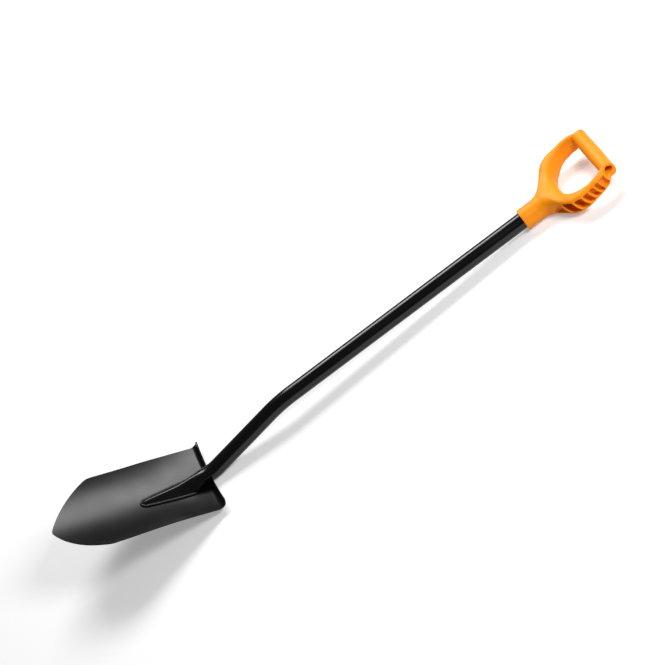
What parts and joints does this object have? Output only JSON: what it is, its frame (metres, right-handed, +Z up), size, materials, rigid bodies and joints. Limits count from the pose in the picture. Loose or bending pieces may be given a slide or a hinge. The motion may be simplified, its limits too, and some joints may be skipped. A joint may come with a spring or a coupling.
{
  "type": "pointed spade",
  "caption": "Pointed digging spade with a dished steel blade, turned foot treads, a bent tube shaft and a moulded D grip.",
  "frame": {"origin": "centre of the footprint on the ground, under the spade as it lies on its back", "axes": "+Y from the point of the blade to the grip, +X across the blade, +Z up, on the hollow side of the blade"},
  "size_m": [0.1914, 1.1488, 0.1292],
  "materials": {
    "coated_sheet": "satin black powder coat on pressed steel",
    "coated_tube": "semi gloss black powder coat on steel tube",
    "coated_weld": "black powder coat over a weld bead",
    "orange_plastic": "satin moulded plastic",
    "zinc_steel": "bright zinc plating"
  },
  "bodies": {
    "root": {"blade": "coated_sheet", "shaft": "coated_tube", "nose_weld": "coated_weld", "neck_weld": "coated_weld", "d_grip": "orange_plastic", "grip_screw": "zinc_steel"}
  },
  "joints": []
}
